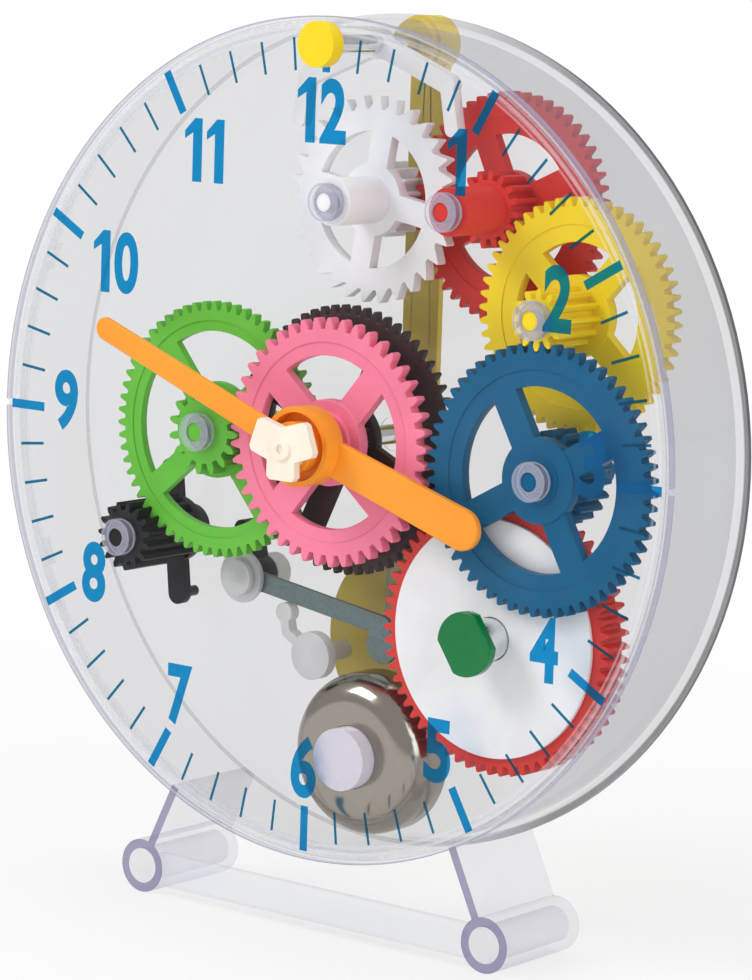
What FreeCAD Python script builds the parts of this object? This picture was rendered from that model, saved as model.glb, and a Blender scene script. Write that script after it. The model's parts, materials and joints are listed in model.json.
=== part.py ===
import FreeCAD, Part
import math
import os
import Sketcher

# Geared teaching clock: a clear drum on two tube feet, a spring-driven train,
# a pendulum behind the case and an hourly bell.
# X is to the right, Y runs back into the clock, Z is up; the front face of the dial is at Y = 0.

doc = FreeCAD.newDocument("teaching_clock")
sheet = doc.addObject("Spreadsheet::Sheet", "sizes")

SIZES = {
    # case
    "drum_inner_radius": 96.6,
    "drum_wall": 1.8,
    "plate_thickness": 2.0,
    "plate_overhang": 0.6,
    "case_depth": 31.6,
    "back_wall": 1.6,
    "back_rim_width": 1.2,
    "back_rim_depth": 2.0,
    "ring_depth": 2.2,
    "ring_wall": 1.2,
    "ring_clearance": 0.1,
    "rim_notch_radius": 0.8,
    "snap_count": 8,
    "snap_depth": 2.6,
    "snap_width": 7.0,
    "snap_set_in": 0.2,
    "snap_first": 22.5,
    # bearings
    "pivot_radius": 2.2,
    "running_clearance": 0.05,
    "collar_wall": 1.9,
    "front_collar_depth": 0.9,
    "back_collar_depth": 0.7,
    "end_float": 0.3,
    "pivot_inset": 0.4,
    # stand
    "foot_angle": 25.37,
    "leg_length": 23.7,
    "leg_thickness": 2.2,
    "foot_tube_radius": 6.6,
    "foot_bore_radius": 4.3,
    "foot_end_wall": 2.0,
    "foot_end_round": 1.6,
    "bar_height": 8.2,
    "bar_thickness": 2.2,
    # teeth
    "wheel_clearance": 0.9626,
    "backlash": 0.16,
    "tooth_height": 0.95,
    "tooth_depth": 1.2,
    "hour_teeth": 45,
    "motion_teeth": 60,
    "motion_pinion_teeth": 15,
    "minute_teeth": 62,
    "minute_pinion_teeth": 15,
    "barrel_teeth": 62,
    "second_teeth": 60,
    "second_pinion_teeth": 20,
    "third_teeth": 52,
    "third_pinion_teeth": 12,
    "fourth_teeth": 52,
    "fourth_pinion_teeth": 16,
    "escape_teeth": 30,
    "escape_pinion_teeth": 16,
    "escape_tip_modules": 24.3,
    "escape_tooth_height": 3.0,
    "strike_teeth": 15,
    # directions from one axis to the next, counter-clockwise from the right
    "barrel_angle": -40.7,
    "second_angle": 69.78,
    "third_angle": 92.387,
    "fourth_angle": 139.04,
    "escape_angle": 180.0,
    "motion_angle": 181.8,
    "strike_angle": 229.4,
    # layers of the train, from the front of the dial
    "second_front": 3.5,
    "hour_front": 3.9,
    "fast_wheel_width": 3.0,
    "motion_front": 7.6,
    "minute_front": 10.7,
    "motion_width": 2.4,
    "barrel_front": 8.7,
    "barrel_width": 8.4,
    "third_front": 18.0,
    "layer_gap": 0.4,
    "rim_step": 0.3,
    "hub_wall": 2.6,
    "hub_radius": 5.6,
    "window_count": 4,
    # wheel bodies: rim width, radius of the solid middle, spoke width, direction of a spoke
    "hour_rim": 6.2,
    "hour_middle": 10.2,
    "hour_spoke": 7.4,
    "hour_spoke_angle": 50.0,
    "motion_rim": 5.0,
    "motion_middle": 11.6,
    "motion_spoke": 5.8,
    "motion_spoke_angle": 40.0,
    "minute_rim": 6.4,
    "minute_middle": 9.6,
    "minute_spoke": 6.4,
    "minute_spoke_angle": 65.0,
    "second_rim": 7.6,
    "second_middle": 9.8,
    "second_spoke": 6.8,
    "second_spoke_angle": 29.0,
    "third_rim": 8.0,
    "third_middle": 9.4,
    "third_spoke": 6.4,
    "third_spoke_angle": 48.0,
    "fourth_rim": 7.6,
    "fourth_middle": 8.8,
    "fourth_spoke": 6.0,
    "fourth_spoke_angle": 25.0,
    "escape_rim": 5.2,
    "escape_middle": 8.6,
    "escape_spoke": 5.8,
    "escape_spoke_angle": 80.0,
    "escape_flat_start": 0.12,
    "escape_flat_end": 0.22,
    "escape_back_end": 0.80,
    # barrel and winding
    "barrel_wall": 3.2,
    "barrel_floor": 1.4,
    "cover_radius": 27.7,
    "cover_thickness": 1.2,
    "cover_spigot": 0.8,
    "spring_strip": 0.5,
    "spring_turns": 5,
    "spring_inner_radius": 8.5,
    "spring_side_gap": 0.5,
    "winding_radius": 3.4,
    "winding_sleeve_radius": 5.0,
    "winding_reach": 0.6,
    "key_radius": 7.5,
    "key_flat_width": 12.4,
    "key_thickness": 2.4,
    "key_edge": 0.5,
    "key_angle": -34.0,
    "ratchet_radius": 9.5,
    "ratchet_teeth": 12,
    "ratchet_width": 2.4,
    "ratchet_depth": 1.9,
    "ratchet_lean": 2.0,
    "ratchet_front": 20.0,
    "click_length": 13.0,
    "click_width": 3.2,
    "click_gap": 0.4,
    # hands
    "centre_radius": 2.4,
    "hour_tube_radius": 4.6,
    "hour_hand_gap": 1.3,
    "hour_hand_thickness": 1.8,
    "hour_hand_length": 52.0,
    "hour_hand_root_width": 8.4,
    "hour_hand_tip_width": 9.6,
    "hand_thickness": 1.4,
    "hand_bevel": 0.4,
    "hour_boss_radius": 9.4,
    "hour_boss_front": 7.4,
    "hour_boss_wall": 1.3,
    "hour_boss_floor": 3.0,
    "minute_hand_length": 65.6,
    "minute_hand_root_width": 6.0,
    "minute_hand_tip_width": 5.4,
    "minute_boss_radius": 6.0,
    "nut_thickness": 3.5,
    "nut_plate": 2.0,
    "nut_core_radius": 4.8,
    "nut_waist_radius": 5.0,
    "nut_lobe_width": 8.4,
    "nut_side_reach": 8.9,
    "nut_low_reach": 7.4,
    "nut_side_angle": 20.0,
    "nut_corner": 0.9,
    "nut_crown_radius": 2.6,
    "nut_crown_height": 0.7,
    "nut_dimple_radius": 1.1,
    "hour_hand_angle": 107.8,
    "minute_hand_angle": 290.8,
    # pendulum
    "pendulum_set_in": 4.07,
    "pendulum_shaft_radius": 2.2,
    "front_knob_radius": 5.3,
    "front_knob_thickness": 4.0,
    "pallet_clearance": 2.2,
    "pallet_spread": 52.0,
    "anchor_arm_width": 4.6,
    "elbow_drop": 0.45,
    "elbow_draw": 0.92,
    "pallet_arm_share": 0.8,
    "bushing_radius": 6.0,
    "bushing_length": 2.4,
    "rear_knob_radius": 6.8,
    "rear_knob_length": 7.6,
    "rod_width": 10.6,
    "rod_thickness": 2.0,
    "bob_distance": 144.0,
    "bob_radius": 23.8,
    "bob_thickness": 4.0,
    # strike work
    "strike_end": 21.4,
    "crank_modules": 16.2,
    "crank_angle": -84.0,
    "crank_width": 5.4,
    "crank_thickness": 2.4,
    "crank_pin_radius": 1.3,
    "lift_arm_angle": 96.0,
    "lift_arm_modules": 14.8,
    "hammer_right_modules": -35.3,
    "hammer_up_modules": -37.7,
    "hammer_pin_radius": 1.8,
    "hammer_front": 17.6,
    "hammer_thickness": 1.4,
    "hammer_width": 4.6,
    "hammer_head_radius": 4.4,
    "hammer_drop": 1.6,
    "hammer_cap_radius": 6.4,
    "hammer_cap_thickness": 1.4,
    "hammer_hub_radius": 4.6,
    "hammer_tail_modules": 11.4,
    "hammer_tail_width": 4.6,
    "hammer_tail_angle": 102.0,
    "hammer_hub_length": 6.0,
    # bell
    "bell_modules": 19.4,
    "bell_front": 6.6,
    "bell_depth": 13.0,
    "bell_wall": 1.0,
    "bell_shoulder": 7.0,
    "bell_barrel_gap": 0.5,
    "bell_drum_gap": 2.6,
    "post_radius": 7.4,
    "post_flange": 9.2,
    "post_front_gap": 0.4,
    "seat_clearance": 0.05,
    # hammer rest
    "rest_radius": 5.8,
    "rest_post_radius": 2.4,
    "rest_thickness": 3.0,
    "rest_drop_modules": 9.5,
    "rest_lean": 0.9,
    "rest_neck": 0.8,
    "rest_gap": 0.3,
    "rest_place": 0.33,
    # guide rib over the hammer, on the back wall
    "rib_right_modules": 6.8,
    "rib_thickness": 1.6,
    "rib_low_modules": -42.0,
    "rib_high_modules": -28.0,
    "rib_front": 19.6,
}
for row, (alias, value) in enumerate(SIZES.items(), start=1):
    cell = "A%d" % row
    sheet.set(cell, str(value))
    sheet.setAlias(cell, alias)
doc.recompute()


def size(alias):
    return float(sheet.get(alias))


def count(alias):
    return int(round(size(alias)))


DEPTH = FreeCAD.Vector(0, 1, 0)
PIECES = []


def point(right, up, depth=0.0):
    return FreeCAD.Vector(right, depth, up)


def polar(radius, degrees, centre=(0.0, 0.0)):
    turn = math.radians(degrees)
    return (centre[0] + radius * math.cos(turn), centre[1] + radius * math.sin(turn))


def add_piece(label, shape, centre=(0.0, 0.0)):
    feature = doc.addObject("Part::Feature", label)
    feature.Shape = shape
    feature.Placement = FreeCAD.Placement(point(*centre), FreeCAD.Rotation()) * shape.Placement
    feature.Label = label
    PIECES.append(feature)
    return feature


def origin_plane(body, role):
    return [item for item in body.Origin.OriginFeatures if item.Role == role][0]


def new_body(label, centre=(0.0, 0.0)):
    body = doc.addObject("PartDesign::Body", label)
    body.Label = label
    body.Placement = FreeCAD.Placement(point(*centre), FreeCAD.Rotation())
    PIECES.append(body)
    return body


def front_sketch(body, name, depth):
    """A sketch seen from the front of the clock, at a depth given as an expression."""
    sketch = body.newObject("Sketcher::SketchObject", name)
    sketch.AttachmentSupport = [(origin_plane(body, "XZ_Plane"), "")]
    sketch.MapMode = "FlatFace"
    sketch.setExpression("AttachmentOffset.Base.z", "-(%s)" % depth)
    return sketch


def add_circle(sketch, radius, centre=(0.0, 0.0)):
    """A circle whose radius is an expression and whose centre is fixed to the sketch's origin."""
    middle = FreeCAD.Vector(centre[0], centre[1], 0)
    circle = sketch.addGeometry(Part.Circle(middle, FreeCAD.Vector(0, 0, 1), 1.0), False)
    if centre == (0.0, 0.0):
        sketch.addConstraint(Sketcher.Constraint("Coincident", circle, 3, -1, 1))
    else:
        sketch.addConstraint(Sketcher.Constraint("DistanceX", -1, 1, circle, 3, centre[0]))
        sketch.addConstraint(Sketcher.Constraint("DistanceY", -1, 1, circle, 3, centre[1]))
    index = sketch.addConstraint(Sketcher.Constraint("Radius", circle, 1.0))
    sketch.setExpression("Constraints[%d]" % index, radius)


def add_polygon(sketch, corners):
    """A closed outline whose corners are pairs of expressions, measured from the sketch's origin."""
    steps = len(corners)
    start = [polar(10.0, 360.0 * number / steps) for number in range(steps)]
    lines = []
    for number in range(steps):
        here = FreeCAD.Vector(start[number][0], start[number][1], 0)
        following = start[(number + 1) % steps]
        there = FreeCAD.Vector(following[0], following[1], 0)
        lines.append(sketch.addGeometry(Part.LineSegment(here, there), False))
    for number in range(steps):
        joined = lines[(number + 1) % steps]
        sketch.addConstraint(Sketcher.Constraint("Coincident", lines[number], 2, joined, 1))
    for line, corner in zip(lines, corners):
        for kind, distance in zip(("DistanceX", "DistanceY"), corner):
            index = sketch.addConstraint(Sketcher.Constraint(kind, -1, 1, line, 1, 1.0))
            sketch.setExpression("Constraints[%d]" % index, distance)


def pad(body, sketch, length):
    feature = body.newObject("PartDesign::Pad", sketch.Name + "_pad")
    feature.Profile = sketch
    feature.Reversed = True
    feature.setExpression("Length", length)
    return feature


def pocket(body, sketch, length):
    feature = body.newObject("PartDesign::Pocket", sketch.Name + "_cut")
    feature.Profile = sketch
    feature.setExpression("Length", length)
    return feature


def turned_body(label, outline, start, centre=(0.0, 0.0)):
    """A body turned about its own Y axis; the outline holds (radius, depth) expressions."""
    body = new_body(label, centre)
    sketch = body.newObject("Sketcher::SketchObject", label + "_profile")
    sketch.AttachmentSupport = [(origin_plane(body, "XY_Plane"), "")]
    sketch.MapMode = "FlatFace"
    add_polygon(sketch, outline)
    turning = body.newObject("PartDesign::Revolution", label + "_turning")
    turning.Profile = sketch
    turning.ReferenceAxis = (sketch, ["V_Axis"])
    turning.Angle = 360.0
    body.setExpression("Placement.Base.y", start)
    return body


# Train layout

def reach_in_modules():
    """How far the train reaches from the centre of the dial for a tooth module of one."""
    spots = train_spots(1.0)
    third = spots["third"]
    return math.hypot(*third) + size("third_teeth") / 2 + size("tooth_height")


def train_spots(module):
    def apart(first, second):
        return module * (size(first) + size(second)) / 2

    spots = {"centre": (0.0, 0.0)}
    spots["barrel"] = polar(apart("minute_teeth", "barrel_teeth"), size("barrel_angle"))
    spots["second"] = polar(apart("barrel_teeth", "second_pinion_teeth"), size("second_angle"),
                            spots["barrel"])
    spots["third"] = polar(apart("second_teeth", "third_pinion_teeth"), size("third_angle"),
                           spots["second"])
    spots["fourth"] = polar(apart("third_teeth", "fourth_pinion_teeth"), size("fourth_angle"),
                            spots["third"])
    spots["escape"] = polar(apart("fourth_teeth", "escape_pinion_teeth"), size("escape_angle"),
                            spots["fourth"])
    spots["motion"] = polar(apart("minute_pinion_teeth", "motion_teeth"), size("motion_angle"))
    spots["strike"] = polar(apart("motion_teeth", "strike_teeth"), size("strike_angle"),
                            spots["motion"])
    return spots


MODULE = (size("drum_inner_radius") - size("wheel_clearance")) / reach_in_modules()
SPOTS = train_spots(MODULE)
SPOTS["pendulum"] = (SPOTS["escape"][0], size("drum_inner_radius") - size("pendulum_set_in"))
MOTION_DISTANCE = math.hypot(*SPOTS["motion"])
HOUR_MODULE = 2 * MOTION_DISTANCE / (size("hour_teeth") + size("motion_pinion_teeth"))


def meeting_point(first, first_radius, second, second_radius):
    """The lower of the two points at given distances from two centres."""
    across = (second[0] - first[0], second[1] - first[1])
    apart = math.hypot(*across)
    unit = (across[0] / apart, across[1] / apart)
    along = (first_radius ** 2 - second_radius ** 2 + apart ** 2) / (2 * apart)
    aside = math.sqrt(max(first_radius ** 2 - along ** 2, 0.0))
    return (first[0] + along * unit[0] + aside * unit[1],
            first[1] + along * unit[1] - aside * unit[0])


BARREL_TIP = MODULE * (size("barrel_teeth") / 2 + size("tooth_height"))
BELL_RADIUS = MODULE * size("bell_modules")
SPOTS["bell"] = meeting_point(
    (0.0, 0.0), size("drum_inner_radius") - size("bell_drum_gap") - BELL_RADIUS,
    SPOTS["barrel"], BARREL_TIP + BELL_RADIUS + size("bell_barrel_gap"))
SPOTS["hammer"] = (MODULE * size("hammer_right_modules"), MODULE * size("hammer_up_modules"))
HEAD_SPOT = (SPOTS["bell"][0],
             SPOTS["bell"][1] + BELL_RADIUS + size("hammer_drop") + size("hammer_head_radius"))

PLATE_BACK = size("plate_thickness")
COLLAR_BACK = PLATE_BACK + size("front_collar_depth")
HUB_FRONT = COLLAR_BACK + size("end_float")
BACK_FACE = size("case_depth") - size("back_wall")
HUB_BACK = BACK_FACE - size("back_collar_depth") - size("end_float")
FOURTH_FRONT = HUB_BACK - size("layer_gap") - size("fast_wheel_width")


# Toothed wheels

def involute(angle):
    return math.tan(angle) - angle


def tooth_angles(teeth, module):
    """Half the width of a tooth, as an angle, at its root, pitch line and tip."""
    pitch_radius = module * teeth / 2
    base_radius = pitch_radius * math.cos(math.radians(20.0))
    half_pitch = math.pi / (2 * teeth) - size("backlash") / (4 * pitch_radius)
    radii = [pitch_radius - module * size("tooth_depth"), pitch_radius,
             pitch_radius + module * size("tooth_height")]
    angles = []
    for radius in radii:
        pressure = math.acos(min(1.0, base_radius / radius))
        angles.append(half_pitch + involute(math.radians(20.0)) - involute(pressure))
    return radii, angles


def toothed_outline(teeth, module, phase):
    """Corner points of a spur wheel; phase is the direction of one tooth in degrees."""
    radii, angles = tooth_angles(teeth, module)
    flank = list(zip(radii, angles))
    corners = []
    for number in range(teeth):
        middle = math.radians(phase) + 2 * math.pi * number / teeth
        for radius, half in flank:
            corners.append((radius, middle - half))
        for radius, half in reversed(flank):
            corners.append((radius, middle + half))
    return [point(radius * math.cos(turn), radius * math.sin(turn)) for radius, turn in corners]


def extruded(corners, front, back):
    wire = Part.makePolygon(corners + [corners[0]])
    face = Part.Face(wire)
    solid = face.extrude(DEPTH * (back - front))
    solid.translate(DEPTH * front)
    return solid


def toothed_disc(teeth, module, phase, front, back):
    return extruded(toothed_outline(teeth, module, phase), front, back)


def rod(radius, front, back, centre=(0.0, 0.0)):
    return Part.makeCylinder(radius, back - front, point(centre[0], centre[1], front), DEPTH)


def window(inner, outer, spoke, direction, quarter, front, back):
    """One opening between two spokes: two arcs and two edges parallel to the spokes."""
    corners = []
    for radius in (inner, outer):
        lean = math.degrees(math.asin(spoke / 2 / radius))
        corners.append([(radius, direction + lean), (radius, direction + quarter / 2),
                        (radius, direction + quarter - lean)])
    inside = [point(*polar(*spot)) for spot in corners[0]]
    outside = [point(*polar(*spot)) for spot in corners[1]]
    edges = [Part.Arc(*inside).toShape(), Part.makeLine(inside[2], outside[2]),
             Part.Arc(*reversed(outside)).toShape(), Part.makeLine(outside[0], inside[0])]
    solid = Part.Face(Part.Wire(edges)).extrude(DEPTH * (back - front))
    solid.translate(DEPTH * front)
    return solid


def windowed(disc, kind, root, front, back):
    """Cuts a wheel's windows, leaving its rim, its spokes and its solid middle."""
    quarter = 360.0 / count("window_count")
    for number in range(count("window_count")):
        direction = size(kind + "_spoke_angle") + number * quarter
        disc = disc.cut(window(size(kind + "_middle"), root - size(kind + "_rim"),
                               size(kind + "_spoke"), direction, quarter, front, back))
    return disc


def spoked_disc(kind, module, front, back):
    """A toothed rim with windows, and a step where the raised outer half of the rim begins."""
    teeth = count(kind + "_teeth")
    root = module * (teeth / 2 - size("tooth_depth"))
    disc = windowed(toothed_disc(teeth, module, PHASE[kind], front, back), kind, root, front, back)
    step = size("rim_step")
    ledge = rod(root - size(kind + "_rim") / 2, front, front + step)
    return disc.cut(ledge.cut(rod(size(kind + "_middle"), front, front + step)))


def joined(first, *others):
    return first.multiFuse(list(others)).removeSplitter()


def meshing_phase(teeth, other_teeth, other_phase, direction):
    """The phase of a wheel lying in a direction from another, so that their teeth interleave."""
    share = other_teeth * (direction - other_phase) / 360.0
    return direction + 180.0 - (0.5 - share) * 360.0 / teeth


def pivots(front, back):
    """The two stub pivots of a moulded wheel, from its hub ends into the plate and the back wall."""
    inset = size("pivot_inset")
    return rod(size("pivot_radius"), inset, front).fuse(
        rod(size("pivot_radius"), back, size("case_depth") - inset))


# Phases, taken along the chain of meshes from the minute wheel
PHASE = {"minute": 0.0, "minute_pinion": 0.0}
PHASE["barrel"] = meshing_phase(count("barrel_teeth"), count("minute_teeth"), PHASE["minute"],
                                size("barrel_angle"))
PHASE["second_pinion"] = meshing_phase(count("second_pinion_teeth"), count("barrel_teeth"),
                                       PHASE["barrel"], size("second_angle"))
PHASE["second"] = 0.0
PHASE["third_pinion"] = meshing_phase(count("third_pinion_teeth"), count("second_teeth"),
                                      PHASE["second"], size("third_angle"))
PHASE["third"] = 0.0
PHASE["fourth_pinion"] = meshing_phase(count("fourth_pinion_teeth"), count("third_teeth"),
                                       PHASE["third"], size("fourth_angle"))
PHASE["fourth"] = 0.0
PHASE["escape_pinion"] = meshing_phase(count("escape_pinion_teeth"), count("fourth_teeth"),
                                       PHASE["fourth"], size("escape_angle"))
PHASE["motion"] = meshing_phase(count("motion_teeth"), count("minute_pinion_teeth"),
                                PHASE["minute_pinion"], size("motion_angle"))
PHASE["strike"] = meshing_phase(count("strike_teeth"), count("motion_teeth"),
                                PHASE["motion"], size("strike_angle"))
PHASE["motion_pinion"] = 0.0
PHASE["hour"] = meshing_phase(count("hour_teeth"), count("motion_pinion_teeth"),
                              PHASE["motion_pinion"], size("motion_angle") + 180.0)


# Case

PLATE_RADIUS = "sizes.drum_inner_radius + sizes.drum_wall + sizes.plate_overhang"
DRUM_RADIUS = "sizes.drum_inner_radius + sizes.drum_wall"
STAND_DEPTH = "(sizes.case_depth - sizes.plate_thickness)"
PIVOT_BORE = "sizes.pivot_radius + sizes.running_clearance"
COLLAR_RADIUS = "sizes.pivot_radius + sizes.running_clearance + sizes.collar_wall"
SHAFT_BORE = "sizes.pendulum_shaft_radius + sizes.running_clearance"
WINDING_BORE = "sizes.winding_sleeve_radius + sizes.running_clearance"
HOUR_BORE = "sizes.hour_tube_radius + sizes.running_clearance"
TRAIN_BEARINGS = ("second", "third", "fourth", "escape", "motion", "strike")


def make_front_plate():
    body = new_body("front_plate")
    disc = front_sketch(body, "plate_disc", "0")
    add_circle(disc, PLATE_RADIUS)
    pad(body, disc, "sizes.plate_thickness")
    ring = front_sketch(body, "plate_ring", "sizes.plate_thickness")
    add_circle(ring, "sizes.drum_inner_radius - sizes.ring_clearance")
    add_circle(ring, "sizes.drum_inner_radius - sizes.ring_clearance - sizes.ring_wall")
    pad(body, ring, "sizes.ring_depth")
    collars = front_sketch(body, "plate_collars", "sizes.plate_thickness")
    for name in TRAIN_BEARINGS:
        add_circle(collars, COLLAR_RADIUS, SPOTS[name])
    pad(body, collars, "sizes.front_collar_depth")
    bores = front_sketch(body, "plate_bores", "0")
    for name in TRAIN_BEARINGS:
        add_circle(bores, PIVOT_BORE, SPOTS[name])
    add_circle(bores, HOUR_BORE)
    add_circle(bores, WINDING_BORE, SPOTS["barrel"])
    add_circle(bores, SHAFT_BORE, SPOTS["pendulum"])
    pocket(body, bores, "sizes.plate_thickness + sizes.front_collar_depth")
    notches = front_sketch(body, "plate_notches", "0")
    rim = size("drum_inner_radius") + size("drum_wall") + size("plate_overhang")
    for side in (-1, 1):
        add_circle(notches, "sizes.rim_notch_radius", (side * rim, 0.001))
    pocket(body, notches, "sizes.plate_thickness")
    snap = front_sketch(body, "plate_snap", "sizes.plate_thickness + sizes.ring_depth")
    high = "sizes.drum_inner_radius - sizes.ring_clearance - sizes.snap_set_in"
    low = "sizes.drum_inner_radius - sizes.ring_clearance - sizes.ring_wall + sizes.snap_set_in"
    half = "sizes.snap_width / 2"
    add_polygon(snap, [("-" + half, low), (half, low), (half, high), ("-" + half, high)])
    snap.setExpression("AttachmentOffset.Rotation.Angle", "sizes.snap_first")
    first = pad(body, snap, "sizes.snap_depth")
    snaps = body.newObject("PartDesign::PolarPattern", "plate_snaps")
    snaps.Originals = [first]
    snaps.Axis = (origin_plane(body, "Y_Axis"), [""])
    snaps.Angle = 360.0
    snaps.setExpression("Occurrences", "sizes.snap_count")
    body.Tip = snaps
    return body


def make_rear_case():
    body = new_body("rear_case")
    wall = front_sketch(body, "drum_wall_ring", "sizes.plate_thickness")
    add_circle(wall, DRUM_RADIUS)
    pad(body, wall, "sizes.case_depth - sizes.plate_thickness")
    inside = front_sketch(body, "drum_inside", "sizes.plate_thickness")
    add_circle(inside, "sizes.drum_inner_radius")
    pocket(body, inside, "sizes.case_depth - sizes.plate_thickness - sizes.back_wall")
    rim = front_sketch(body, "back_rim", "sizes.case_depth - sizes.back_rim_depth")
    add_circle(rim, DRUM_RADIUS + " + sizes.back_rim_width")
    add_circle(rim, "sizes.drum_inner_radius")
    pad(body, rim, "sizes.back_rim_depth")
    collar_depth = "sizes.case_depth - sizes.back_wall - sizes.back_collar_depth"
    collars = front_sketch(body, "back_collars", collar_depth)
    for name in TRAIN_BEARINGS + ("centre", "barrel"):
        add_circle(collars, COLLAR_RADIUS, SPOTS[name])
    pad(body, collars, "sizes.back_collar_depth")
    rib = front_sketch(body, "guide_rib", "sizes.rib_front")
    left = "%f" % (MODULE * size("rib_right_modules"))
    low = "%f" % (MODULE * size("rib_low_modules"))
    high = "%f" % (MODULE * size("rib_high_modules"))
    right = left + " + sizes.rib_thickness"
    add_polygon(rib, [(left, low), (right, low), (right, high), (left, high)])
    pad(body, rib, "sizes.case_depth - sizes.back_wall - sizes.rib_front")
    bores = front_sketch(body, "back_bores", collar_depth)
    for name in TRAIN_BEARINGS + ("centre", "barrel"):
        add_circle(bores, PIVOT_BORE, SPOTS[name])
    add_circle(bores, SHAFT_BORE, SPOTS["pendulum"])
    body.Tip = pocket(body, bores, "sizes.back_collar_depth + sizes.back_wall")
    return body


def make_foot(label, side):
    """One leg and foot tube, drawn straight below the drum and then swung to its side."""
    body = new_body(label)
    centre = size("drum_inner_radius") + size("drum_wall") + size("leg_length")
    leg = front_sketch(body, label + "_leg", "sizes.plate_thickness")
    half = "sizes.leg_thickness / 2"
    low = "-(%s + sizes.leg_length)" % DRUM_RADIUS
    high = "-(sizes.drum_inner_radius)"
    add_polygon(leg, [("-" + half, low), (half, low), (half, high), ("-" + half, high)])
    pad(body, leg, STAND_DEPTH)
    seat = front_sketch(body, label + "_seat", "sizes.plate_thickness")
    add_circle(seat, DRUM_RADIUS)
    pocket(body, seat, STAND_DEPTH)
    rim_seat = front_sketch(body, label + "_rim_seat", "sizes.case_depth - sizes.back_rim_depth")
    add_circle(rim_seat, DRUM_RADIUS + " + sizes.back_rim_width")
    pocket(body, rim_seat, "sizes.back_rim_depth")
    tube = front_sketch(body, label + "_tube", "sizes.plate_thickness")
    add_circle(tube, "sizes.foot_tube_radius", (0.0, -centre))
    tube_pad = pad(body, tube, STAND_DEPTH)
    doc.recompute()
    back = size("case_depth")
    rims = ["Edge%d" % number for number, edge in enumerate(tube_pad.Shape.Edges, start=1)
            if edge.Curve.TypeId == "Part::GeomCircle"
            and abs(edge.Curve.Radius - size("foot_tube_radius")) < 0.001
            and abs(edge.CenterOfMass.y - back) < 0.001]
    rounding = body.newObject("PartDesign::Fillet", label + "_round")
    rounding.Base = (tube_pad, rims)
    rounding.setExpression("Radius", "sizes.foot_end_round")
    bore = front_sketch(body, label + "_bore", "sizes.plate_thickness")
    add_circle(bore, "sizes.foot_bore_radius", (0.0, -centre))
    body.Tip = pocket(body, bore, STAND_DEPTH + " - sizes.foot_end_wall")
    body.Placement = FreeCAD.Placement(FreeCAD.Vector(), FreeCAD.Rotation(DEPTH, side * size("foot_angle")))
    return body


def make_stand_bar():
    body = new_body("stand_bar")
    span = size("drum_inner_radius") + size("drum_wall") + size("leg_length")
    feet = [polar(span, 270.0 - size("foot_angle")), polar(span, 270.0 + size("foot_angle"))]
    middle = "(%s + sizes.leg_length) * cos(sizes.foot_angle)" % DRUM_RADIUS
    half = "(%s + sizes.leg_length) * sin(sizes.foot_angle)" % DRUM_RADIUS
    bar = front_sketch(body, "bar_outline", "sizes.plate_thickness")
    low = "-(%s) - sizes.bar_height / 2" % middle
    high = "-(%s) + sizes.bar_height / 2" % middle
    add_polygon(bar, [("-(%s)" % half, low), (half, low), (half, high), ("-(%s)" % half, high)])
    pad(body, bar, "sizes.bar_thickness")
    seats = front_sketch(body, "bar_seats", "sizes.plate_thickness")
    for foot in feet:
        add_circle(seats, "sizes.foot_tube_radius", foot)
    body.Tip = pocket(body, seats, "sizes.bar_thickness")
    return body


# Motion work and hands

def make_hour_wheel():
    front = size("hour_front")
    back = front + size("fast_wheel_width")
    tube = size("hour_tube_radius")
    disc = spoked_disc("hour", HOUR_MODULE, front, back)
    sleeve = rod(tube, -size("hour_boss_front") + size("end_float"), back)
    hub = rod(tube + size("hub_wall"), HUB_FRONT, back)
    bore = rod(size("centre_radius") + size("running_clearance"), -size("hour_boss_front"), back)
    return add_piece("hour_wheel", joined(disc, sleeve, hub).cut(bore))


def hand_blade(length, root_width, tip_width, front, back, angle):
    """A hand that widens or narrows to a round end, at a clockwise angle from twelve."""
    tip = tip_width / 2
    reach = length - tip
    corners = [point(-root_width / 2, 0), point(root_width / 2, 0),
               point(tip, reach), point(-tip, reach)]
    blade = extruded(corners, front, back).fuse(rod(tip, front, back, (0.0, reach))).removeSplitter()
    outline = [edge for edge in blade.Edges
               if abs(edge.BoundBox.YMin - front) < 0.001 and abs(edge.BoundBox.YMax - front) < 0.001
               and edge.BoundBox.ZMax > 0.001]
    blade = blade.makeChamfer(size("hand_bevel"), outline)
    blade.rotate(FreeCAD.Vector(), DEPTH, angle)
    return blade


def make_hour_hand():
    """The blade springs from the foot of a round cup that turns on the hour wheel's sleeve."""
    back = -size("hour_hand_gap")
    front = back - size("hour_hand_thickness")
    blade = hand_blade(size("hour_hand_length"), size("hour_hand_root_width"),
                       size("hour_hand_tip_width"), front, back, size("hour_hand_angle"))
    radius = size("hour_boss_radius")
    cup_front = -size("hour_boss_front")
    floor = back - size("hour_boss_floor")
    boss = rod(radius, cup_front, back)
    hollow = rod(radius - size("hour_boss_wall"), cup_front, floor)
    sleeve = rod(size("hour_tube_radius") + size("hour_boss_wall"), cup_front, floor)
    bore = rod(size("hour_tube_radius"), cup_front, back)
    return add_piece("hour_hand", joined(blade, boss).cut(hollow.cut(sleeve)).cut(bore))


MINUTE_HAND_BACK = -size("hour_boss_front") - size("end_float")
MINUTE_HAND_FRONT = MINUTE_HAND_BACK - size("hand_thickness")
NUT_FRONT = MINUTE_HAND_FRONT - size("nut_thickness")


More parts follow.
